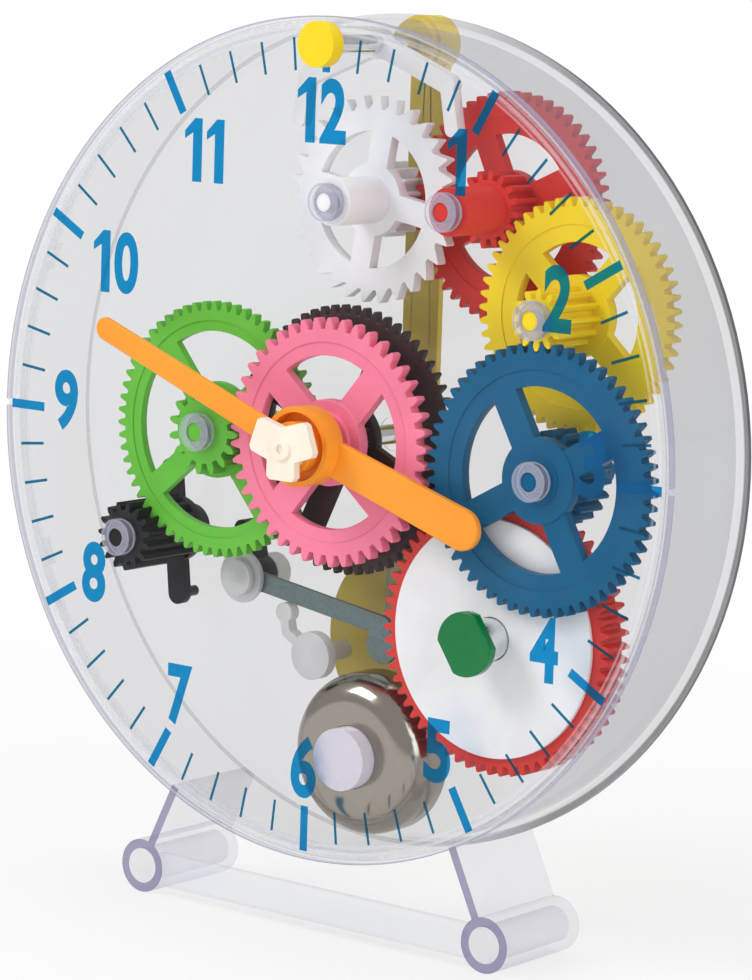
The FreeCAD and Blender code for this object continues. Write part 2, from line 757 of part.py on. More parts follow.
def make_minute_hand():
    blade = hand_blade(size("minute_hand_length"), size("minute_hand_root_width"),
                       size("minute_hand_tip_width"), MINUTE_HAND_FRONT, MINUTE_HAND_BACK,
                       size("minute_hand_angle"))
    boss = rod(size("minute_boss_radius"), MINUTE_HAND_FRONT, MINUTE_HAND_BACK)
    bore = rod(size("centre_radius"), MINUTE_HAND_FRONT, MINUTE_HAND_BACK)
    return add_piece("minute_hand", joined(blade, boss).cut(bore))


def lobe_corners(reach, angle):
    """The four corners of one lobe's end, with its tips cut back."""
    half = size("nut_lobe_width") / 2
    cut = size("nut_corner")
    turn = math.radians(angle)
    ends = [(reach - cut, -half), (reach, cut - half), (reach, half - cut), (reach - cut, half)]
    return [point(along * math.cos(turn) - aside * math.sin(turn),
                  along * math.sin(turn) + aside * math.cos(turn)) for along, aside in ends]


def make_hand_nut():
    """A thumb nut with three square-ended lobes, a round crown and a dimple."""
    side = size("nut_side_angle")
    lobes = [(size("nut_side_reach"), side), (size("nut_side_reach"), 180.0 - side),
             (size("nut_low_reach"), 270.0)]
    corners = []
    for number, (reach, angle) in enumerate(lobes):
        corners += lobe_corners(reach, angle)
        following = lobes[(number + 1) % len(lobes)][1] + (360.0 if number == 2 else 0.0)
        corners.append(point(*polar(size("nut_waist_radius"), (angle + following) / 2)))
    plate = extruded(corners, NUT_FRONT, NUT_FRONT + size("nut_plate"))
    core = rod(size("nut_core_radius"), NUT_FRONT, MINUTE_HAND_FRONT)
    crown_front = NUT_FRONT - size("nut_crown_height")
    crown = rod(size("nut_crown_radius"), crown_front, NUT_FRONT)
    bore = rod(size("centre_radius"), NUT_FRONT + size("hand_thickness"), MINUTE_HAND_FRONT)
    dimple = rod(size("nut_dimple_radius"), crown_front, NUT_FRONT)
    return add_piece("hand_nut", joined(plate, core, crown).cut(bore).cut(dimple))


def make_minute_wheel():
    front = size("minute_front")
    back = front + size("motion_width")
    radius = size("centre_radius")
    hub = radius + size("hub_wall")
    disc = spoked_disc("minute", MODULE, front, back)
    pinion = toothed_disc(count("minute_pinion_teeth"), MODULE, PHASE["minute_pinion"],
                          size("hour_front") + size("fast_wheel_width") + size("layer_gap"), front)
    collar = rod(hub, front, back + size("motion_width"))
    bore = rod(radius, 0.0, size("case_depth"))
    return add_piece("minute_wheel", joined(disc, pinion, collar).cut(bore))


def make_minute_arbor():
    body = turned_body("minute_arbor", [
        ("0", "0"), ("sizes.centre_radius", "0"),
        ("sizes.centre_radius", "%f" % (HUB_BACK - NUT_FRONT - size("hand_thickness"))),
        ("sizes.pivot_radius", "%f" % (HUB_BACK - NUT_FRONT - size("hand_thickness"))),
        ("sizes.pivot_radius",
         "%f" % (size("case_depth") - size("pivot_inset") - NUT_FRONT - size("hand_thickness"))),
        ("0", "%f" % (size("case_depth") - size("pivot_inset") - NUT_FRONT - size("hand_thickness"))),
    ], "%f" % (NUT_FRONT + size("hand_thickness")))
    return body


def make_motion_wheel():
    front = size("motion_front")
    back = front + size("motion_width")
    disc = spoked_disc("motion", MODULE, front, back)
    pinion = toothed_disc(count("motion_pinion_teeth"), HOUR_MODULE, PHASE["motion_pinion"],
                          HUB_FRONT, front)
    arbor = rod(size("pivot_radius") + size("hub_wall") / 2, back, HUB_BACK)
    return add_piece("motion_wheel", joined(disc, pinion, arbor, pivots(HUB_FRONT, HUB_BACK)),
                     SPOTS["motion"])


# Going train

def make_second_wheel():
    front = size("second_front")
    back = front + size("fast_wheel_width")
    disc = spoked_disc("second", MODULE, front, back)
    pinion_back = size("barrel_front") + size("barrel_width")
    pinion = toothed_disc(count("second_pinion_teeth"), MODULE, PHASE["second_pinion"],
                          size("barrel_front"), pinion_back)
    hub = rod(size("hub_radius"), HUB_FRONT, pinion_back)
    arbor = rod(size("pivot_radius") + size("hub_wall") / 2, pinion_back, HUB_BACK)
    return add_piece("second_wheel", joined(disc, pinion, hub, arbor, pivots(HUB_FRONT, HUB_BACK)),
                     SPOTS["second"])


def make_third_wheel():
    front = size("third_front")
    back = front + size("fast_wheel_width")
    disc = spoked_disc("third", MODULE, front, back)
    pinion = toothed_disc(count("third_pinion_teeth"), MODULE, PHASE["third_pinion"],
                          HUB_FRONT, front)
    hub = rod(size("hub_radius"), back, back + size("motion_width"))
    arbor = rod(size("pivot_radius") + size("hub_wall") / 2, back, HUB_BACK)
    return add_piece("third_wheel", joined(disc, pinion, hub, arbor, pivots(HUB_FRONT, HUB_BACK)),
                     SPOTS["third"])


def make_fourth_wheel():
    front = FOURTH_FRONT
    back = front + size("fast_wheel_width")
    disc = spoked_disc("fourth", MODULE, front, back)
    pinion = toothed_disc(count("fourth_pinion_teeth"), MODULE, PHASE["fourth_pinion"],
                          size("third_front") - size("layer_gap"), front)
    sleeve = rod(size("hub_radius"), HUB_FRONT, size("third_front") - size("layer_gap"))
    hub = rod(size("hub_radius"), back, HUB_BACK)
    return add_piece("fourth_wheel", joined(disc, pinion, sleeve, hub, pivots(HUB_FRONT, HUB_BACK)),
                     SPOTS["fourth"])


def escape_outline(teeth, tip, root):
    """Pointed teeth that lean forwards, each with a steep face and a long back."""
    corners = []
    pitch = 360.0 / teeth
    for number in range(teeth):
        start = number * pitch
        corners.append(point(*polar(root, start)))
        corners.append(point(*polar(tip, start + pitch * size("escape_flat_start"))))
        corners.append(point(*polar(tip, start + pitch * size("escape_flat_end"))))
        corners.append(point(*polar(root, start + pitch * size("escape_back_end"))))
    return corners


def make_escape_wheel():
    front = size("third_front")
    back = front + size("fast_wheel_width")
    tip = MODULE * size("escape_tip_modules")
    root = tip - size("escape_tooth_height")
    disc = extruded(escape_outline(count("escape_teeth"), tip, root), front, back)
    disc = windowed(disc, "escape", root, front, back)
    pinion = toothed_disc(count("escape_pinion_teeth"), MODULE, PHASE["escape_pinion"], back, HUB_BACK)
    sleeve = rod(size("hub_radius"), HUB_FRONT, front)
    return add_piece("escape_wheel", joined(disc, pinion, sleeve, pivots(HUB_FRONT, HUB_BACK)),
                     SPOTS["escape"])


# Barrel, mainspring and winding

def make_barrel():
    front = size("barrel_front")
    back = front + size("barrel_width")
    body = toothed_disc(count("barrel_teeth"), MODULE, PHASE["barrel"], front, back)
    inner = MODULE * (size("barrel_teeth") / 2 - size("tooth_depth")) - size("barrel_wall")
    hollow = rod(inner, front, back - size("barrel_floor"))
    bore = rod(size("winding_radius") + size("running_clearance"), front, back)
    add_piece("barrel_gear", body.cut(hollow).cut(bore), SPOTS["barrel"])
    cover = rod(size("cover_radius"), front - size("cover_thickness"), front)
    spigot = rod(inner - size("seat_clearance"), front, front + size("cover_spigot"))
    sleeve_bore = rod(size("winding_sleeve_radius") + size("running_clearance"),
                      front - size("cover_thickness"), front + size("cover_spigot"))
    add_piece("barrel_cover", joined(cover, spigot).cut(sleeve_bore), SPOTS["barrel"])
    return inner


def spiral_edges(start, pitch, half_turns):
    """A spiral of half circles about two centres, as a list of edges."""
    edges = []
    left = -start
    sign = -1
    for number in range(half_turns):
        radius = start + pitch * number / 2
        right = left + 2 * radius * -sign
        middle = (left + right) / 2
        top = point(middle, -sign * radius)
        edges.append(Part.Arc(point(left, 0), top, point(right, 0)).toShape())
        left = right
        sign = -sign
    return edges


def make_mainspring(barrel_inner):
    """The wound strip: an inner spiral line and an outer one, a strip's thickness apart."""
    turns = count("spring_turns")
    strip = size("spring_strip")
    start = size("spring_inner_radius")
    pitch = (barrel_inner - strip - size("layer_gap") - start) / turns
    inner = spiral_edges(start, pitch, 2 * turns)
    outer = spiral_edges(start + strip, pitch, 2 * turns)
    first = Part.makeLine(inner[0].Vertexes[0].Point, outer[0].Vertexes[0].Point)
    last = Part.makeLine(inner[-1].Vertexes[-1].Point, outer[-1].Vertexes[-1].Point)
    edges = Part.sortEdges(inner + [last] + outer + [first])[0]
    face = Part.Face(Part.Wire(edges))
    front = size("barrel_front") + size("cover_spigot") + size("spring_side_gap")
    back = size("barrel_front") + size("barrel_width") - size("barrel_floor") - size("spring_side_gap")
    strip_solid = face.extrude(DEPTH * (back - front))
    strip_solid.translate(DEPTH * front)
    print("mainspring gap between turns", round(pitch - strip, 3))
    return add_piece("mainspring", strip_solid, SPOTS["barrel"])


def make_winding():
    front = size("barrel_front")
    reach = -size("winding_reach")
    sleeve = rod(size("winding_sleeve_radius"), reach, front + size("cover_spigot"))
    core = rod(size("winding_radius"), front, HUB_BACK)
    pivot = rod(size("pivot_radius"), HUB_BACK, size("case_depth") - size("pivot_inset"))
    add_piece("winding_arbor", joined(sleeve, core, pivot), SPOTS["barrel"])
    key = rod(size("key_radius"), reach - size("key_thickness"), reach)
    long = 3 * size("key_radius")
    slab = Part.makeBox(size("key_flat_width"), 3 * size("key_thickness"), long,
                        FreeCAD.Vector(-size("key_flat_width") / 2, reach - 2 * size("key_thickness"),
                                       -long / 2))
    slab.rotate(FreeCAD.Vector(), DEPTH, size("key_angle"))
    key = key.common(slab)
    face = reach - size("key_thickness")
    rim = [edge for edge in key.Edges
           if abs(edge.BoundBox.YMin - face) < 0.001 and abs(edge.BoundBox.YMax - face) < 0.001]
    add_piece("winding_key", key.makeFillet(size("key_edge"), rim), SPOTS["barrel"])


def make_ratchet():
    front = size("ratchet_front")
    back = front + size("ratchet_width")
    tip = size("ratchet_radius")
    root = tip - size("ratchet_depth")
    lean = size("ratchet_lean")
    corners = []
    pitch = 360.0 / count("ratchet_teeth")
    for number in range(count("ratchet_teeth")):
        corners.append(point(*polar(root, number * pitch)))
        corners.append(point(*polar(tip, number * pitch + lean)))
        corners.append(point(*polar(root, (number + 1) * pitch - lean)))
    wheel = extruded(corners, front, back).cut(rod(size("winding_radius"), front, back))
    add_piece("ratchet_wheel", wheel, SPOTS["barrel"])
    post_spot = click_post_spot()
    reach = size("click_width") / 2
    click = Part.makeBox(size("click_length"), back - front, size("click_width"),
                         FreeCAD.Vector(0, front, -reach))
    click = joined(click, rod(size("click_width"), front, back))
    click = click.cut(rod(size("hammer_pin_radius") + size("running_clearance"), front, back))
    click.rotate(FreeCAD.Vector(), DEPTH, 90.0)
    add_piece("click", click, post_spot)
    post = rod(size("hammer_pin_radius"), front, BACK_FACE)
    stop = rod(size("click_width"), back + size("end_float"), BACK_FACE)
    add_piece("click_post", joined(post, stop), post_spot)


def click_post_spot():
    """The click hangs below its post, just outside the ratchet's tips."""
    aside = size("ratchet_radius") + size("click_gap") + size("click_width") / 2
    barrel = SPOTS["barrel"]
    return (barrel[0] - aside, barrel[1] + size("click_length") / 2)


# Pendulum

def make_pendulum():
    spot = SPOTS["pendulum"]
    radius = size("pendulum_shaft_radius")
    float_gap = size("end_float")
    bushing_back = size("case_depth") + float_gap + size("bushing_length")
    knob_back = bushing_back + size("rear_knob_length")
    shaft = rod(radius, -float_gap, knob_back - size("hand_thickness"))
    add_piece("pendulum_shaft", shaft, spot)
    knob = rod(size("front_knob_radius"), -float_gap - size("front_knob_thickness"), -float_gap)
    add_piece("front_knob", knob.makeChamfer(float_gap, knob.Edges[:1]), spot)
    bushing = rod(size("bushing_radius"), size("case_depth") + float_gap, bushing_back)
    add_piece("rear_bushing", bushing.cut(rod(radius, 0.0, bushing_back)), spot)
    head = rod(size("rear_knob_radius"), bushing_back, knob_back)
    head = head.cut(rod(radius, 0.0, knob_back - size("hand_thickness")))
    slot_front = knob_back - size("hand_thickness") - size("rod_thickness")
    bob_drop = size("bob_distance")
    width = size("rod_width")
    blade = Part.makeBox(width, size("rod_thickness"), bob_drop - size("bob_radius") / 2,
                         FreeCAD.Vector(-width / 2, slot_front, -bob_drop + size("bob_radius") / 2))
    add_piece("rear_knob", head.cut(blade), spot)
    blade = blade.cut(rod(radius, 0.0, knob_back))
    bob = rod(size("bob_radius"), slot_front - (size("bob_thickness") - size("rod_thickness")) / 2,
              slot_front + (size("bob_thickness") + size("rod_thickness")) / 2, (0.0, -bob_drop))
    add_piece("pendulum_rod", blade, spot)
    add_piece("pendulum_bob", bob.cut(blade), spot)


def make_anchor():
    """Two arms from the pendulum shaft to pallets that stay clear of the escape wheel's tips."""
    spot = SPOTS["pendulum"]
    escape = SPOTS["escape"]
    front = size("third_front")
    back = front + size("fast_wheel_width")
    reach = MODULE * size("escape_tip_modules") + size("pallet_clearance")
    width = size("anchor_arm_width")
    hub = size("pendulum_shaft_radius") + size("hub_wall") / 2
    anchor = rod(hub, front, back)
    for side in (-1, 1):
        pallet = polar(reach + width / 2, 90.0 + side * size("pallet_spread"), escape)
        local = (pallet[0] - spot[0], pallet[1] - spot[1])
        elbow = (-side * abs(local[0]) * size("elbow_draw"), local[1] * size("elbow_drop"))
        anchor = anchor.fuse(bar_between((0.0, 0.0), elbow, width, front, back))
        anchor = anchor.fuse(bar_between(elbow, local, width * size("pallet_arm_share"),
                                         front, back))
    anchor = anchor.removeSplitter().cut(rod(size("pendulum_shaft_radius"), front, back))
    return add_piece("anchor", anchor, spot)


def bar_between(start, end, width, front, back):
    """A flat bar with round ends between two places."""
    across = (end[0] - start[0], end[1] - start[1])
    length = math.hypot(*across)
    bar = Part.makeBox(length, back - front, width, FreeCAD.Vector(0, front, -width / 2))
    bar = bar.fuse(rod(width / 2, front, back))
    bar = bar.fuse(rod(width / 2, front, back, (length, 0.0)))
    bar.rotate(FreeCAD.Vector(), DEPTH, -math.degrees(math.atan2(across[1], across[0])))
    bar.translate(point(*start))
    return bar.removeSplitter()


# Strike work

def make_strike_roller():
    end = size("strike_end")
    roller = toothed_disc(count("strike_teeth"), MODULE, PHASE["strike"], HUB_FRONT, end)
    add_piece("strike_roller", joined(roller, rod(size("hub_radius"), end, HUB_BACK),
                                      pivots(HUB_FRONT, HUB_BACK)), SPOTS["strike"])
    back = end + size("crank_thickness")
    pin_spot = polar(MODULE * size("crank_modules"), size("crank_angle"))
    arm = bar_between((0.0, 0.0), pin_spot, size("crank_width"), end, back)
    lift = bar_between((0.0, 0.0), polar(MODULE * size("lift_arm_modules"), size("lift_arm_angle")),
                       size("crank_width"), end, back)
    hub = rod(size("hub_radius") + size("hub_wall"), end, back)
    pin = rod(size("crank_pin_radius"), back, HUB_BACK - 2 * size("end_float"), pin_spot)
    crank = joined(arm, lift, hub, pin).cut(rod(size("hub_radius"), end, back))
    add_piece("strike_crank", crank, SPOTS["strike"])


def make_hammer():
    spot = SPOTS["hammer"]
    front = size("hammer_front")
    back = front + size("hammer_thickness")
    pin_bore = size("hammer_pin_radius") + size("running_clearance")
    head = (HEAD_SPOT[0] - spot[0], HEAD_SPOT[1] - spot[1])
    width = size("hammer_width")
    neck = (head[0], head[1] + width)
    strip = bar_between((0.0, 0.0), neck, width, front, back)
    foot = bar_between(neck, head, width, front, back)
    lever = joined(strip, foot, rod(size("hammer_head_radius"), front, back, head))
    add_piece("hammer_lever", lever.cut(rod(pin_bore, front, back)), spot)
    cap_front = front - size("hammer_cap_thickness")
    add_piece("hammer_cap", rod(size("hammer_cap_radius"), cap_front, front).cut(
        rod(pin_bore, cap_front, front)), spot)
    hub_back = back + size("hammer_hub_length")
    tail_end = polar(MODULE * size("hammer_tail_modules"), size("hammer_tail_angle"))
    tail = bar_between((0.0, 0.0), tail_end, size("hammer_tail_width"), back, hub_back)
    hub = joined(rod(size("hammer_hub_radius"), back, hub_back), tail)
    add_piece("hammer_hub", hub.cut(rod(pin_bore, back, hub_back)), spot)
    post = rod(size("hammer_pin_radius"), cap_front - size("end_float"), BACK_FACE)
    shoulder = rod(size("hammer_hub_radius"), hub_back + size("end_float"), BACK_FACE)
    head_disc = rod(size("hammer_head_radius"), cap_front - size("end_float") - size("hand_thickness"),
                    cap_front - size("end_float"))
    add_piece("hammer_post", joined(post, shoulder, head_disc), spot)


def make_hammer_rest():
    """A soft stop under the hammer lever, on a post from the back wall."""
    spot = SPOTS["hammer"]
    share = size("rest_place")
    along = (HEAD_SPOT[0] - spot[0], HEAD_SPOT[1] + size("hammer_width") - spot[1])
    length = math.hypot(*along)
    unit = (along[0] / length, along[1] / length)
    down = size("hammer_width") / 2 + size("rest_gap") + size("rest_post_radius")
    tip = (spot[0] + along[0] * share + unit[1] * down, spot[1] + along[1] * share - unit[0] * down)
    drop = MODULE * size("rest_drop_modules")
    disc = (drop * size("rest_lean"), -drop)
    neck = (size("rest_neck"), -drop / 2)
    front = size("hammer_front") - (size("rest_thickness") - size("hammer_thickness")) / 2
    back = front + size("rest_thickness")
    shape = joined(rod(size("rest_post_radius"), front, back),
                   bar_between((0.0, 0.0), neck, size("rest_post_radius"), front, back),
                   bar_between(neck, disc, size("rest_post_radius"), front, back),
                   rod(size("rest_radius"), front, back, disc),
                   rod(size("rest_post_radius"), back, BACK_FACE, disc))
    add_piece("hammer_rest", shape, tip)


# Bell

def make_bell():
    spot = SPOTS["bell"]
    front = size("bell_front")
    back = front + size("bell_depth")
    wall = size("bell_wall")
    outer = BELL_RADIUS
    shoulder = size("bell_shoulder")
    seat = size("post_radius") + size("seat_clearance")

    def skin(radius, top, rounding):
        """The profile line of one face of the bell, from its hole to its rim."""
        middle = (radius - rounding, top + rounding)
        bend = (middle[0] + rounding * math.sin(math.radians(45)),
                middle[1] - rounding * math.cos(math.radians(45)))
        return [FreeCAD.Vector(seat, top, 0), FreeCAD.Vector(middle[0], top, 0),
                FreeCAD.Vector(bend[0], bend[1], 0), FreeCAD.Vector(radius, middle[1], 0),
                FreeCAD.Vector(radius, back, 0)]

    outside = skin(outer, front, shoulder)
    inside = skin(outer - wall, front + wall, shoulder - wall)
    edges = []
    for line in (outside, inside):
        edges += [Part.makeLine(line[0], line[1]), Part.Arc(*line[1:4]).toShape(),
                  Part.makeLine(line[3], line[4])]
    edges += [Part.makeLine(outside[0], inside[0]), Part.makeLine(outside[4], inside[4])]
    face = Part.Face(Part.Wire(Part.sortEdges(edges)[0]))
    add_piece("bell", face.revolve(FreeCAD.Vector(), DEPTH, 360.0), spot)
    seat_back = front + wall
    post = joined(rod(size("post_radius"), PLATE_BACK + size("post_front_gap"), BACK_FACE),
                  rod(size("post_flange"), seat_back, BACK_FACE))
    add_piece("bell_post", post, spot)


make_front_plate()
make_rear_case()
make_foot("foot_left", 1)
make_foot("foot_right", -1)
make_stand_bar()
make_hour_wheel()
make_hour_hand()
make_minute_wheel()
make_minute_arbor()
make_minute_hand()
make_hand_nut()
make_motion_wheel()
make_second_wheel()
make_third_wheel()
make_fourth_wheel()
make_escape_wheel()
make_mainspring(make_barrel())
make_winding()
make_ratchet()
make_pendulum()
make_anchor()
make_strike_roller()
make_hammer()
make_hammer_rest()
make_bell()
doc.recompute()

for item in doc.Objects:
    if {"Invalid", "Error"} & set(item.State):
        raise RuntimeError("failed: " + item.Label)
for piece in PIECES:
    if piece.Shape.isNull() or not piece.Shape.isValid():
        raise RuntimeError("bad shape: " + piece.Label)
    if len(piece.Shape.Solids) != 1:
        raise RuntimeError("not one solid: " + piece.Label)

os.makedirs("parts", exist_ok=True)
for piece in PIECES:
    piece.Shape.exportStep("parts/%s.step" % piece.Label)
print("pieces", len(PIECES), "module", round(MODULE, 5))
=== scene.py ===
import json
import math
import bmesh
import bpy
from mathutils import Matrix, Vector


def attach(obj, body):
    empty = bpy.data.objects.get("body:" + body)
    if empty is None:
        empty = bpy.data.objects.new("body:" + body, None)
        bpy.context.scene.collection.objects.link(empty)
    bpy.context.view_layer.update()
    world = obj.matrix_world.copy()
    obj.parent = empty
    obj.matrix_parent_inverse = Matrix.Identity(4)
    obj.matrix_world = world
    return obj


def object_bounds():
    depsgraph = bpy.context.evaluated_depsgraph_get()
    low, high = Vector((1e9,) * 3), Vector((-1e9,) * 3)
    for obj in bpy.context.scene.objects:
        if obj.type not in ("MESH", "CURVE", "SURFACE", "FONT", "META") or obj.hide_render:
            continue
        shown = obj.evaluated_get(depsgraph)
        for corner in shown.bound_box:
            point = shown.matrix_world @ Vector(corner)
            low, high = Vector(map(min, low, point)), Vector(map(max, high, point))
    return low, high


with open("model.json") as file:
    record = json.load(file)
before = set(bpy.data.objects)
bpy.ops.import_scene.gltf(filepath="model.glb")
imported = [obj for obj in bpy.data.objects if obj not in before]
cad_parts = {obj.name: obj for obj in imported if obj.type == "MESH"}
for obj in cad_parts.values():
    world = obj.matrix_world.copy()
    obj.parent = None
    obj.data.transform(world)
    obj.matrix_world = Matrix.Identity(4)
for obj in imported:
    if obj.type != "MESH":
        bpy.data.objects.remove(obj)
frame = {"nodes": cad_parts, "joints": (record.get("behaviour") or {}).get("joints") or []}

# A geared teaching clock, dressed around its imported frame. Metres, dial front at y = 0.
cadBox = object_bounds()
nodes = frame["nodes"]
print("frame loaded,", len(nodes), "nodes")

dialUnit = 0.097  # outer radius of the printed minute ring


class Wire:
    # one socket of a node tree; sums on it add Math nodes
    def __init__(self, tree, socket):
        self.tree = tree
        self.socket = socket

    def sum(self, operation, first, second=None):
        node = self.tree.nodes.new("ShaderNodeMath")
        node.operation = operation
        for slot, value in zip(node.inputs, (first, second)):
            if isinstance(value, Wire):
                self.tree.links.new(value.socket, slot)
            elif value is not None:
                slot.default_value = value
        return Wire(self.tree, node.outputs[0])

    def __add__(self, other): return self.sum("ADD", self, other)
    def __radd__(self, other): return self.sum("ADD", other, self)
    def __sub__(self, other): return self.sum("SUBTRACT", self, other)
    def __rsub__(self, other): return self.sum("SUBTRACT", other, self)
    def __mul__(self, other): return self.sum("MULTIPLY", self, other)
    def __rmul__(self, other): return self.sum("MULTIPLY", other, self)
    def __pow__(self, other): return self.sum("POWER", self, other)
    def most(self, other): return self.sum("MAXIMUM", self, other)
    def clip(self): return self.sum("MINIMUM", self.most(0.0), 1.0)
    def size(self): return self.sum("ABSOLUTE", self)


def four(colour):
    return (*colour, 1.0)


def length(first, second):
    return (first * first + second * second) ** 0.5


class NodeTree:
    # a node tree being filled, with one method for any node
    def __init__(self, tree):
        self.tree = tree
        self.tree.nodes.clear()

    def node(self, kind, settings, sockets, out=0):
        made = self.tree.nodes.new(kind)
        for name, value in settings.items():
            setattr(made, name, value)
        for name, value in sockets.items():
            slot = made.inputs[name]
            if isinstance(value, Wire):
                self.tree.links.new(value.socket, slot)
            else:
                slot.default_value = value
        return Wire(self.tree, made.outputs[out]) if len(made.outputs) else None

    def seenBy(self, otherRays):
        # 1 for the camera's own rays and for the other kinds named
        seen = self.node("ShaderNodeLightPath", {}, {}, "Is Camera Ray")
        for name in otherRays:
            seen = seen.most(self.node("ShaderNodeLightPath", {}, {}, name))
        return seen


class Finish(NodeTree):
    # a material being made
    def __init__(self, name):
        self.material = bpy.data.materials.new(name)
        self.material.use_nodes = True
        super().__init__(self.material.node_tree)
        self.place = self.node("ShaderNodeTexCoord", {}, {}, "Object")

    def noise(self, scale, detail, roughness=0.55):
        return self.node("ShaderNodeTexNoise", {}, {
            "Vector": self.place, "Scale": scale, "Detail": detail, "Roughness": roughness})

    def ramp(self, value, low, high):
        return self.node("ShaderNodeMapRange", {"clamp": True}, {
            "Value": value, "From Min": low, "From Max": high, "To Min": 0.0, "To Max": 1.0}, "Result")

    def stripe(self, away, width):
        # 1 on a line, gone at its width to each side
        return self.ramp(away.size(), width, width * 0.5)

    def blend(self, amount, first, second):
        tones = [tone if isinstance(tone, Wire) else four(tone) for tone in (first, second)]
        return self.node("ShaderNodeMix", {"data_type": "RGBA"}, {0: amount, 6: tones[0], 7: tones[1]}, 2)

    def axis(self, vector, name):
        return self.node("ShaderNodeSeparateXYZ", {}, {"Vector": vector}, name)

    def bump(self, height, strength, distance):
        return self.node("ShaderNodeBump", {}, {
            "Height": height, "Strength": strength, "Distance": distance}, "Normal")

    def surface(self, sockets):
        return self.node("ShaderNodeBsdfPrincipled", {}, sockets)

    def mix(self, amount, first, second):
        return self.node("ShaderNodeMixShader", {}, {0: amount, 1: first, 2: second})

    def done(self, shader):
        self.node("ShaderNodeOutputMaterial", {}, {"Surface": shader})
        return self.material


def linear(colour):
    # an sRGB colour as written, to the values shaders use
    return tuple(c / 12.92 if c <= 0.04045 else ((c + 0.055) / 1.055) ** 2.4 for c in colour)


def darker(colour, times):
    return tuple(c * times for c in colour)


def lighter(colour, times, plus):
    return tuple(min(1.0, c * times + plus) for c in colour)


# moulded plastics

moulding = {
    "cloud": 60.0, "grain": 2600.0, "dust": 900.0, "flow": 220.0,  # noise scales
    "shade": 0.94, "streak": 0.10, "uneven": 0.22, "dustRough": 0.2,
    "bump": 0.22, "bumpDepth": 0.00012, "ior": 1.49, "coatRough": 0.12,
}


def mouldedPlastic(name, colour, rough, speck=0.25, speckColour=(1.0, 1.0, 1.0), coat=0.0, sheen=0.28):
    f = Finish(name)
    base = linear(colour)
    cloud = f.noise(moulding["cloud"], 3.0)
    grain = f.noise(moulding["grain"], 5.0, 0.6)
    dust = f.ramp(f.noise(moulding["dust"], 6.0, 0.7), 0.66, 0.74)
    flow = f.noise(moulding["flow"], 6.0, 0.65)
    tone = f.blend(f.ramp(cloud, 0.35, 0.65), darker(base, moulding["shade"]), lighter(base, 1.03, 0.004))
    tone = f.blend(f.ramp(flow, 0.45, 0.8) * moulding["streak"], tone, lighter(base, 1.2, 0.02))
    tone = f.blend(dust * speck, tone, linear(speckColour))
    gloss = (rough + (flow - 0.5) * moulding["uneven"] + dust * moulding["dustRough"]).clip()
    height = grain * 0.35 + flow * 0.65
    return f.done(f.surface({
        "Base Color": tone, "Roughness": gloss, "IOR": moulding["ior"], "Specular IOR Level": sheen,
        "Coat Weight": coat, "Coat Roughness": moulding["coatRough"],
        "Normal": f.bump(height, moulding["bump"], moulding["bumpDepth"])}))


plastics = {
    "green": dict(colour=(0.38, 0.73, 0.20), rough=0.36),
    "pink": dict(colour=(0.96, 0.50, 0.62), rough=0.38),
    "umber": dict(colour=(0.20, 0.11, 0.11), rough=0.40, speck=0.12, speckColour=(0.6, 0.5, 0.5)),
    "blue": dict(colour=(0.0, 0.35, 0.51), rough=0.36, speck=0.12, speckColour=(0.3, 0.6, 0.7), sheen=0.12),
    "yellow": dict(colour=(0.96, 0.84, 0.10), rough=0.36),
    "red": dict(colour=(0.84, 0.20, 0.17), rough=0.36),
    "white": dict(colour=(0.93, 0.93, 0.94), rough=0.36, speck=0.15, speckColour=(0.6, 0.6, 0.6)),
    "black": dict(colour=(0.07, 0.07, 0.08), rough=0.38, speck=0.3, speckColour=(0.5, 0.5, 0.5)),
    "keyGreen": dict(colour=(0.0, 0.46, 0.23), rough=0.18, speck=0.05, coat=0.25, sheen=0.2),
    "orange": dict(colour=(0.99, 0.62, 0.18), rough=0.36, speck=0.12),
    "ivory": dict(colour=(0.98, 0.93, 0.86), rough=0.30, speck=0.0),
}
plastic = {key: mouldedPlastic("plastic_" + key, **look) for key, look in plastics.items()}
print("plastics made")


# clear polystyrene: alpha rises at edges, seams and grazing sides, and along pale rings that are painted
# highlights

clear = {
    "scratch": 700.0, "cloud": 35.0, "wave": 90.0,  # noise scales
    "edgeShare": 0.72, "scratchShare": 0.05, "cloudShare": 0.02,
    "rough": 0.06, "scratchRough": 0.25, "cloudRough": 0.05,
    "bump": 0.05, "bumpDepth": 0.0004, "ior": 1.55,
}
bearing = {
    "outer": 0.0042, "bore": 0.0023, "smoke": 0.34, "line": 0.62, "lineWidth": 0.0004, "soft": 0.0001,
    "joints": ("motion_turn", "second_turn", "third_turn", "fourth_turn", "escape_turn", "strike_turn"),
}
shafts = sorted({(round(j["pos_m"][0], 5), round(j["pos_m"][2], 5)) for j in frame["joints"]
                 if j["name"] in bearing["joints"]})


def bearingMark(f, away):
    # a smoky ring with a darker line at its bore and at its edge
    outer, bore, soft = bearing["outer"], bearing["bore"], bearing["soft"]
    body = f.ramp(away, outer + soft, outer) * f.ramp(away, bore, bore + soft)
    lines = f.stripe(away - outer, bearing["lineWidth"]).most(f.stripe(away - bore, bearing["lineWidth"]))
    return (body * bearing["smoke"]).most(lines * bearing["line"])


